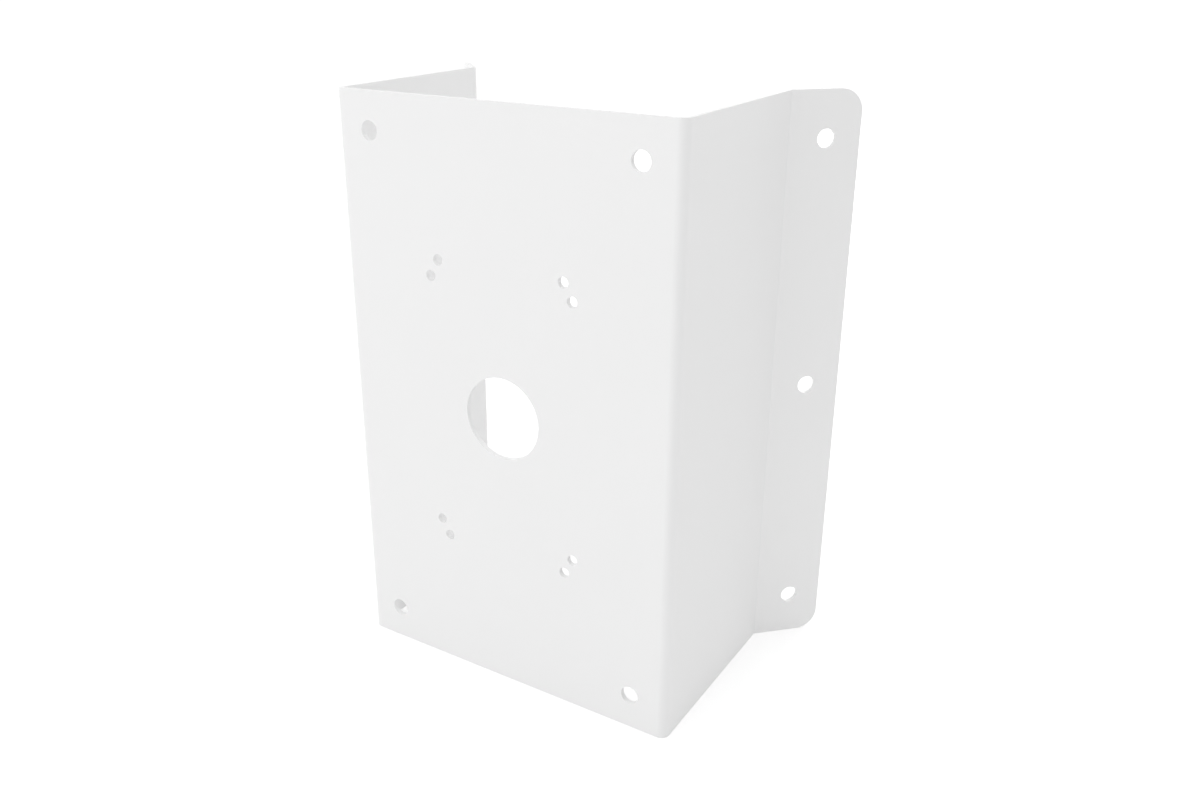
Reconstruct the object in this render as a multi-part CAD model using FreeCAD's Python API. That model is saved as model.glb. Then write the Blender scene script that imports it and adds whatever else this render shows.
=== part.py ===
import FreeCAD, Part
import math
import os

# Camera corner mount bracket, millimetres.
# One steel sheet folded into a channel. The front plate carries a camera arm, a side wall runs back
# from each of its upright edges, and each wall ends in a flange that lies on one wall of a building's
# outside corner.
# Frame: +Z up, the front plate faces -Y, +X is to the viewer's right as they look at the plate.
# The origin is the centre of the cable hole, on the front face of the plate.

# Sheet
SHEET_THICKNESS = 2.0
BEND_INNER_RADIUS = 1.5

# Channel
PLATE_WIDTH = 140.5
PLATE_HEIGHT = 225.0
CHANNEL_DEPTH = 80.5  # front face to the line where wall and flange would meet without a bend
BUILDING_CORNER_DEG = 90.0  # angle between the two building walls that the flanges lie on

# Flanges
FLANGE_WIDTH = 27.5  # from that line to the free edge
FLANGE_CORNER_RADIUS = 8.5
FLANGE_HOLE_DIAMETER = 7.0
FLANGE_HOLE_FROM_FREE_EDGE = 13.0
FLANGE_HOLE_FROM_END = 17.5  # top and bottom holes, from the ends of the flange

# Plate holes
CORNER_HOLE_DIAMETER = 7.0
CORNER_HOLE_FROM_SIDE = 15.25
CORNER_HOLE_FROM_END = 14.0
CABLE_HOLE_DIAMETER = 31.5
ARM_HOLE_DIAMETER = 4.0
TALL_ARM_SPACING_X = 53.0
TALL_ARM_SPACING_Z = 111.0
WIDE_ARM_SPACING_X = 60.0
WIDE_ARM_SPACING_Z = 98.5

HALF_WIDTH = PLATE_WIDTH / 2
HALF_HEIGHT = PLATE_HEIGHT / 2
BEND_OUTER_RADIUS = BEND_INNER_RADIUS + SHEET_THICKNESS
FLANGE_ANGLE = math.radians(BUILDING_CORNER_DEG / 2)  # turn of the flange away from the plate's plane

UP = FreeCAD.Vector(0, 0, 1)
BACK = FreeCAD.Vector(0, 1, 0)
FLANGE_RUN = FreeCAD.Vector(math.cos(FLANGE_ANGLE), math.sin(FLANGE_ANGLE), 0)  # wall to free edge, right side
FLANGE_REAR = FreeCAD.Vector(-math.sin(FLANGE_ANGLE), math.cos(FLANGE_ANGLE), 0)  # out of its contact face
FLANGE_ROOT = FreeCAD.Vector(HALF_WIDTH, CHANNEL_DEPTH, 0)  # wall and flange meet here without a bend


def mirrored(point):
    """The same point on the left side of the bracket."""
    return FreeCAD.Vector(-point.x, point.y, point.z)


def right_side_path(offset, front_radius, flange_radius):
    """Corners of one face of the sheet on the right side, each with its bend radius.

    The face lies at this offset behind the front face, measured through the sheet."""
    wall_x = HALF_WIDTH - offset
    flange_start = FLANGE_ROOT + FLANGE_REAR * offset
    run_to_wall = (wall_x - flange_start.x) / FLANGE_RUN.x
    return [
        (FreeCAD.Vector(wall_x, offset, 0), front_radius),
        (flange_start + FLANGE_RUN * run_to_wall, flange_radius),
        (flange_start + FLANGE_RUN * FLANGE_WIDTH, 0.0),
    ]


def both_sides(right):
    """The right side's path led across the plate from the left flange to the right one."""
    left = [(mirrored(point), radius) for point, radius in reversed(right)]
    return left + right


def rounded_corner(before, corner, after, radius):
    """Where a bend starts, its middle and where it ends."""
    to_before = (before - corner).normalize()
    to_after = (after - corner).normalize()
    half_angle = to_before.getAngle(to_after) / 2
    tangent_length = radius / math.tan(half_angle)
    to_centre = (to_before + to_after).normalize()
    middle = corner + to_centre * (radius / math.sin(half_angle) - radius)
    return corner + to_before * tangent_length, middle, corner + to_after * tangent_length


def outline_wire(corners):
    """Closed outline through the corners, with a true arc at each one that has a radius."""
    edges = []
    spans = []
    for index, (corner, radius) in enumerate(corners):
        before = corners[index - 1][0]
        after = corners[(index + 1) % len(corners)][0]
        if radius > 0:
            start, middle, end = rounded_corner(before, corner, after, radius)
            edges.append(Part.Arc(start, middle, end).toShape())
            spans.append((start, end))
        else:
            spans.append((corner, corner))
    for index, span in enumerate(spans):
        previous_end = spans[index - 1][1]
        edges.append(Part.makeLine(previous_end, span[0]))
    return Part.Wire(Part.__sortEdges__(edges))


def folded_sheet():
    """The sheet's section, drawn as seen from above, at full height and with no holes yet."""
    front = right_side_path(0.0, BEND_OUTER_RADIUS, BEND_INNER_RADIUS)
    rear = right_side_path(SHEET_THICKNESS, BEND_INNER_RADIUS, BEND_OUTER_RADIUS)
    section = outline_wire(both_sides(front) + list(reversed(both_sides(rear))))
    sheet = Part.Face(section).extrude(UP * PLATE_HEIGHT)
    sheet.translate(UP * -HALF_HEIGHT)
    return sheet


def flange_corner_edges(sheet):
    """The four short edges that run through the sheet at the flanges' free corners."""
    free_edge_x = (FLANGE_ROOT + FLANGE_RUN * FLANGE_WIDTH).x
    found = []
    for edge in sheet.Edges:
        centre = edge.CenterOfMass
        across_sheet = abs(edge.Length - SHEET_THICKNESS) < 0.01 * SHEET_THICKNESS
        at_end = abs(abs(centre.z) - HALF_HEIGHT) < 0.01
        at_free_edge = abs(abs(centre.x) - free_edge_x) < SHEET_THICKNESS
        if across_sheet and at_end and at_free_edge:
            found.append(edge)
    return found


def drill(diameter, centre, direction):
    """Cutter for one hole that crosses the sheet both ways from its centre."""
    reach = direction * (2 * SHEET_THICKNESS)
    return Part.makeCylinder(diameter / 2, reach.Length * 2, centre - reach, direction)


def rectangle_of_holes(diameter, spacing_x, spacing_z):
    """Four plate holes at the corners of a rectangle about the cable hole."""
    return [
        drill(diameter, FreeCAD.Vector(side * spacing_x / 2, 0, end * spacing_z / 2), BACK)
        for side in (-1, 1)
        for end in (-1, 1)
    ]


def plate_holes():
    """Cable hole, corner holes and the two sets of small holes for camera arms."""
    corner_spacing_x = PLATE_WIDTH - 2 * CORNER_HOLE_FROM_SIDE
    corner_spacing_z = PLATE_HEIGHT - 2 * CORNER_HOLE_FROM_END
    cable_hole = drill(CABLE_HOLE_DIAMETER, FreeCAD.Vector(0, 0, 0), BACK)
    corner_holes = rectangle_of_holes(CORNER_HOLE_DIAMETER, corner_spacing_x, corner_spacing_z)
    tall_set = rectangle_of_holes(ARM_HOLE_DIAMETER, TALL_ARM_SPACING_X, TALL_ARM_SPACING_Z)
    wide_set = rectangle_of_holes(ARM_HOLE_DIAMETER, WIDE_ARM_SPACING_X, WIDE_ARM_SPACING_Z)
    return [cable_hole] + corner_holes + tall_set + wide_set


def flange_holes():
    """Top, middle and bottom anchor hole in each flange, square to the flange."""
    on_right = FLANGE_ROOT + FLANGE_RUN * (FLANGE_WIDTH - FLANGE_HOLE_FROM_FREE_EDGE)
    end_height = HALF_HEIGHT - FLANGE_HOLE_FROM_END
    holes = []
    for height in (-end_height, 0.0, end_height):
        right = on_right + UP * height
        holes.append(drill(FLANGE_HOLE_DIAMETER, right, FLANGE_REAR))
        holes.append(drill(FLANGE_HOLE_DIAMETER, mirrored(right), mirrored(FLANGE_REAR)))
    return holes


def corner_bracket():
    """The whole bracket, one folded sheet."""
    sheet = folded_sheet()
    rounded = sheet.makeFillet(FLANGE_CORNER_RADIUS, flange_corner_edges(sheet))
    return rounded.cut(plate_holes() + flange_holes())


os.makedirs("parts", exist_ok=True)
corner_bracket().exportStep("parts/corner_bracket.step")
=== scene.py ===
import math

import bpy
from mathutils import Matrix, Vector


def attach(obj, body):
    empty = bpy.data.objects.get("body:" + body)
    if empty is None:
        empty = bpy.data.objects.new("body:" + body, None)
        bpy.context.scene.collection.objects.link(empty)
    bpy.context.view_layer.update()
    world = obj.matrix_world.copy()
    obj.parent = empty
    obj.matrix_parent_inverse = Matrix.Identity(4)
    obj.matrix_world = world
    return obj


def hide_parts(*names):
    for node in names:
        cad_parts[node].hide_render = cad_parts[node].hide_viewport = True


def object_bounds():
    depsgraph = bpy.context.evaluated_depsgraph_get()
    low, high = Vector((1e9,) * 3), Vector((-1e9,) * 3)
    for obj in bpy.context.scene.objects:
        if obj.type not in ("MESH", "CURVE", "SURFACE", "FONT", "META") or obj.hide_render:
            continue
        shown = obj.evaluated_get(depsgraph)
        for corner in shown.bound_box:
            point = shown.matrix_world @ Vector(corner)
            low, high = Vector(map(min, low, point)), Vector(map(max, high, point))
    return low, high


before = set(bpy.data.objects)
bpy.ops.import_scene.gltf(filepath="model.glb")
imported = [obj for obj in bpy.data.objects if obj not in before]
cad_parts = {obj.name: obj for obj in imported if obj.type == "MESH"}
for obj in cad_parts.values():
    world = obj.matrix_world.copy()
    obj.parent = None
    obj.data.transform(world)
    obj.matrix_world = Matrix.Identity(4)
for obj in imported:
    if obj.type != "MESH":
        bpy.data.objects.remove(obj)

# Camera corner mount bracket, one folded and powder-coated steel sheet. Everything is in metres.

MM = 0.001

cad_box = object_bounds()

# The sheet
EDGE_ROUNDING = 0.12 * MM  # deburring and the coat round every cut edge by about this much
EDGE_STEPS = 3
CUT_EDGE_DEG = 40  # a cut edge is sharper than this, the facets of a bend or a hole are not
FLAT_DEG = 0.2  # faces that turn less than this lie in one plane
SAME_POINT = 0.001 * MM  # vertices nearer than this are one

# The coat
COAT_WHITES = ("F2F2F2", "F4F4F4")  # where the film is thinnest and thickest
COAT_ROUGHNESS = (0.40, 0.46)
COAT_IOR = 1.5  # polyester
PEEL_SPACING = 2.5 * MM
PEEL_HEIGHT = 0.012 * MM
GRAIN_SPACING = 0.5 * MM
GRAIN_HEIGHT = 0.002 * MM
DRIFT_SPACING = 40 * MM
DRIFT_RANGE = (0.3, 0.7)  # nearly all of the noise lies between these

# The camera
EYE = Vector((0.219558, -0.298510, 0.161131))
LOOK = Vector((-0.49717, 0.78561, -0.36828))
SENSOR_WIDTH = 36.0
LENS = 33.4187
SHIFT_X = 0.021999
SHIFT_Y = -0.015497
CLIP_NEAR = 0.01
CLIP_FAR = 100

# The studio
FLOOR_Z = cad_box[0].z
FLOOR_SIZE = 60.0
FLOOR_GREY = 0.9
# What lifts the paper to white, beside the bracket and out of the lamps' reach, and how far away
# from the bracket it has these two strengths. The first leaves a faint shadow round its foot.
FLOOR_GLOW = (0.28, 0.5)
GLOW_REACH = (0.4, 1.5)
ROOM_LIGHT = 0.65
SOFTBOX_SIZE = 0.9
SOFTBOX_DISTANCE = 1.4
SOFTBOXES = (  # name, azimuth and elevation in degrees, power in watts
    ("front_softbox", 10, 10, 2.3),
    ("left_softbox", -45, 20, 2.9),
    ("far_left_softbox", -100, 20, 1.5),
    ("right_softbox", 120, 20, 0.95),
    ("rear_softbox", 180, 20, 4.6),
    ("top_softbox", 0, 89.9, 4.0),
)

# Sockets of the Mix node when it mixes colours, where several share one name
MIX_FACTOR = 0
MIX_FIRST = 6
MIX_SECOND = 7
MIX_RESULT = 2


def srgb(code):
    """Linear colour of an sRGB hex value."""
    parts = [int(code[i : i + 2], 16) / 255 for i in (0, 2, 4)]
    linear = [c / 12.92 if c <= 0.04045 else ((c + 0.055) / 1.055) ** 2.4 for c in parts]
    return (*linear, 1.0)


def add_node(tree, kind, settings=None, inputs=None, links=None):
    """Adds a node: its settings by name, its sockets' values and what is linked to them."""
    node = tree.nodes.new(kind)
    for name, value in (settings or {}).items():
        setattr(node, name, value)
    for socket, value in (inputs or {}).items():
        node.inputs[socket].default_value = value
    for socket, source in (links or {}).items():
        tree.links.new(source, node.inputs[socket])
    return node


def new_material(name):
    """An empty node material and its tree."""
    material = bpy.data.materials.new(name)
    material.use_nodes = True
    material.node_tree.nodes.clear()
    return material, material.node_tree


def deselect_all():
    bpy.ops.object.select_all(action="DESELECT")


def make_active(obj):
    deselect_all()
    obj.select_set(True)
    bpy.context.view_layer.objects.active = obj


def coated_sheet():
    """The bracket's sheet with its cut edges rounded, from a merged copy of the solid's mesh."""
    make_active(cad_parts["corner_bracket"])
    bpy.ops.object.duplicate()
    sheet = bpy.context.view_layer.objects.active
    sheet.name = "coated_sheet"
    sheet.data.name = "coated_sheet"
    bpy.ops.mesh.customdata_custom_splitnormals_clear()
    bpy.ops.object.mode_set(mode="EDIT")
    bpy.ops.mesh.select_all(action="SELECT")
    bpy.ops.mesh.remove_doubles(threshold=SAME_POINT)
    bpy.ops.mesh.dissolve_limited(angle_limit=math.radians(FLAT_DEG))
    bpy.ops.mesh.select_all(action="DESELECT")
    bpy.ops.mesh.select_mode(type="EDGE")
    bpy.ops.mesh.edges_select_sharp(sharpness=math.radians(CUT_EDGE_DEG))
    bpy.ops.mesh.bevel(
        offset=EDGE_ROUNDING,
        offset_type="OFFSET",
        segments=EDGE_STEPS,
        profile=0.5,
        clamp_overlap=False,
    )
    bpy.ops.mesh.select_all(action="DESELECT")
    bpy.ops.object.mode_set(mode="OBJECT")
    bpy.ops.object.shade_smooth_by_angle(angle=math.radians(CUT_EDGE_DEG))
    # Flat faces are shaded flat right up to the rounded edges
    shading = sheet.modifiers.new("even_shading", "WEIGHTED_NORMAL")
    shading.mode = "FACE_AREA"
    shading.weight = 100
    shading.keep_sharp = True
    bpy.ops.object.modifier_apply(modifier=shading.name)
    return sheet


def powder_coat():
    """Satin white polyester powder coat on steel: an even, neutral white with a soft broad gloss,
    and the faint orange peel of a coat that melted and ran together in the oven."""
    material, tree = new_material("powder_coated_steel")
    place = add_node(tree, "ShaderNodeTexCoord")
    # Orange peel, long low waves that stir the gloss
    peel = add_node(
        tree,
        "ShaderNodeTexNoise",
        inputs={"Scale": 1 / PEEL_SPACING, "Detail": 1.0, "Roughness": 0.4},
        links={"Vector": place.outputs["Object"]},
    )
    peel_bump = add_node(
        tree,
        "ShaderNodeBump",
        inputs={"Strength": 1.0, "Distance": PEEL_HEIGHT},
        links={"Height": peel.outputs["Fac"]},
    )
    # Grain of the satin, drawn coarser than it is so that it shows at all
    grain = add_node(
        tree,
        "ShaderNodeTexNoise",
        inputs={"Scale": 1 / GRAIN_SPACING, "Detail": 2.0, "Roughness": 0.5},
        links={"Vector": place.outputs["Object"]},
    )
    grain_bump = add_node(
        tree,
        "ShaderNodeBump",
        inputs={"Strength": 1.0, "Distance": GRAIN_HEIGHT},
        links={"Height": grain.outputs["Fac"], "Normal": peel_bump.outputs["Normal"]},
    )
    # The film's thickness drifts, and the white and the gloss drift with it
    drift = add_node(
        tree,
        "ShaderNodeTexNoise",
        inputs={"Scale": 1 / DRIFT_SPACING, "Detail": 2.0, "Roughness": 0.5},
        links={"Vector": place.outputs["Object"]},
    )
    white = add_node(
        tree,
        "ShaderNodeMix",
        settings={"data_type": "RGBA"},
        inputs={MIX_FIRST: srgb(COAT_WHITES[0]), MIX_SECOND: srgb(COAT_WHITES[1])},
        links={MIX_FACTOR: drift.outputs["Fac"]},
    )
    gloss = add_node(
        tree,
        "ShaderNodeMapRange",
        inputs={
            "From Min": DRIFT_RANGE[0],
            "From Max": DRIFT_RANGE[1],
            "To Min": COAT_ROUGHNESS[0],
            "To Max": COAT_ROUGHNESS[1],
        },
        links={"Value": drift.outputs["Fac"]},
    )
    coat = add_node(
        tree,
        "ShaderNodeBsdfPrincipled",
        inputs={"IOR": COAT_IOR},
        links={
            "Base Color": white.outputs[MIX_RESULT],
            "Roughness": gloss.outputs["Result"],
            "Normal": grain_bump.outputs["Normal"],
        },
    )
    add_node(tree, "ShaderNodeOutputMaterial", links={"Surface": coat.outputs["BSDF"]})
    return material


def seen_directly(tree):
    """1 for what the camera sees, also in a gloss or a glass, 0 for the light on the object."""
    path = add_node(tree, "ShaderNodeLightPath")
    direct = add_node(
        tree,
        "ShaderNodeMath",
        settings={"operation": "ADD", "use_clamp": True},
        links={0: path.outputs["Is Camera Ray"], 1: path.outputs["Is Glossy Ray"]},
    )
    return add_node(
        tree,
        "ShaderNodeMath",
        settings={"operation": "ADD", "use_clamp": True},
        links={0: direct.outputs[0], 1: path.outputs["Is Transmission Ray"]},
    ).outputs[0]


def floor_paper():
    """White studio paper, which keeps the bracket's shadow and is white out to where it ends."""
    material, tree = new_material("white_studio_paper")
    paper = add_node(
        tree,
        "ShaderNodeBsdfDiffuse",
        inputs={"Color": (FLOOR_GREY, FLOOR_GREY, FLOOR_GREY, 1)},
    )
    place = add_node(tree, "ShaderNodeTexCoord")
    distance = add_node(
        tree,
        "ShaderNodeVectorMath",
        settings={"operation": "LENGTH"},
        links={0: place.outputs["Object"]},
    )
    glow_there = add_node(
        tree,
        "ShaderNodeMapRange",
        inputs={
            "From Min": GLOW_REACH[0],
            "From Max": GLOW_REACH[1],
            "To Min": FLOOR_GLOW[0],
            "To Max": FLOOR_GLOW[1],
        },
        links={"Value": distance.outputs["Value"]},
    )
    lift = add_node(
        tree,
        "ShaderNodeMath",
        settings={"operation": "MULTIPLY"},
        links={0: glow_there.outputs["Result"], 1: seen_directly(tree)},
    )
    glow = add_node(tree, "ShaderNodeEmission", links={"Strength": lift.outputs[0]})
    both = add_node(tree, "ShaderNodeAddShader", links={0: paper.outputs[0], 1: glow.outputs[0]})
    add_node(tree, "ShaderNodeOutputMaterial", links={"Surface": both.outputs[0]})
    return material


def room():
    """Even light from all round, and white wherever it is seen."""
    world = bpy.data.worlds.new("studio")
    world.use_nodes = True
    tree = world.node_tree
    tree.nodes.clear()
    strength = add_node(
        tree,
        "ShaderNodeMapRange",
        inputs={"To Min": ROOM_LIGHT, "To Max": 1.0},
        links={"Value": seen_directly(tree)},
    )
    light = add_node(
        tree,
        "ShaderNodeBackground",
        inputs={"Color": (1, 1, 1, 1)},
        links={"Strength": strength.outputs["Result"]},
    )
    add_node(tree, "ShaderNodeOutputWorld", links={"Surface": light.outputs[0]})
    bpy.context.scene.world = world


def studio_floor():
    deselect_all()
    bpy.ops.mesh.primitive_plane_add(size=FLOOR_SIZE, location=(0, 0, FLOOR_Z))
    floor = bpy.context.active_object
    floor.name = "studio_floor"
    floor.data.materials.append(floor_paper())


def softbox(name, azimuth, elevation, power):
    """A square softbox aimed at the bracket, azimuth 0 in front of the plate, 90 on its right."""
    lamp = bpy.data.lights.new(name, "AREA")
    lamp.shape = "SQUARE"
    lamp.size = SOFTBOX_SIZE
    lamp.energy = power
    box = bpy.data.objects.new(name, lamp)
    bpy.context.collection.objects.link(box)
    turn, rise = math.radians(azimuth), math.radians(elevation)
    level = math.cos(rise)
    away = Vector((math.sin(turn) * level, -math.cos(turn) * level, math.sin(rise)))
    middle = (cad_box[0] + cad_box[1]) / 2
    box.location = middle + away * SOFTBOX_DISTANCE
    box.rotation_mode = "QUATERNION"
    box.rotation_quaternion = away.to_track_quat("Z", "Y")
    box.visible_camera = False


def camera():
    lens = bpy.data.cameras.new("camera")
    lens.sensor_width = SENSOR_WIDTH
    lens.lens = LENS
    lens.shift_x = SHIFT_X
    lens.shift_y = SHIFT_Y
    lens.clip_start = CLIP_NEAR
    lens.clip_end = CLIP_FAR
    stand = bpy.data.objects.new("camera", lens)
    bpy.context.collection.objects.link(stand)
    stand.location = EYE
    stand.rotation_mode = "QUATERNION"
    stand.rotation_quaternion = LOOK.to_track_quat("-Z", "Y")
    bpy.context.scene.camera = stand


camera()

sheet = coated_sheet()
sheet.data.materials.clear()
sheet.data.materials.append(powder_coat())
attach(sheet, "root")
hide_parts("corner_bracket")

studio_floor()
room()
for name, azimuth, elevation, power in SOFTBOXES:
    softbox(name, azimuth, elevation, power)

bpy.context.scene.view_settings.view_transform = "Standard"
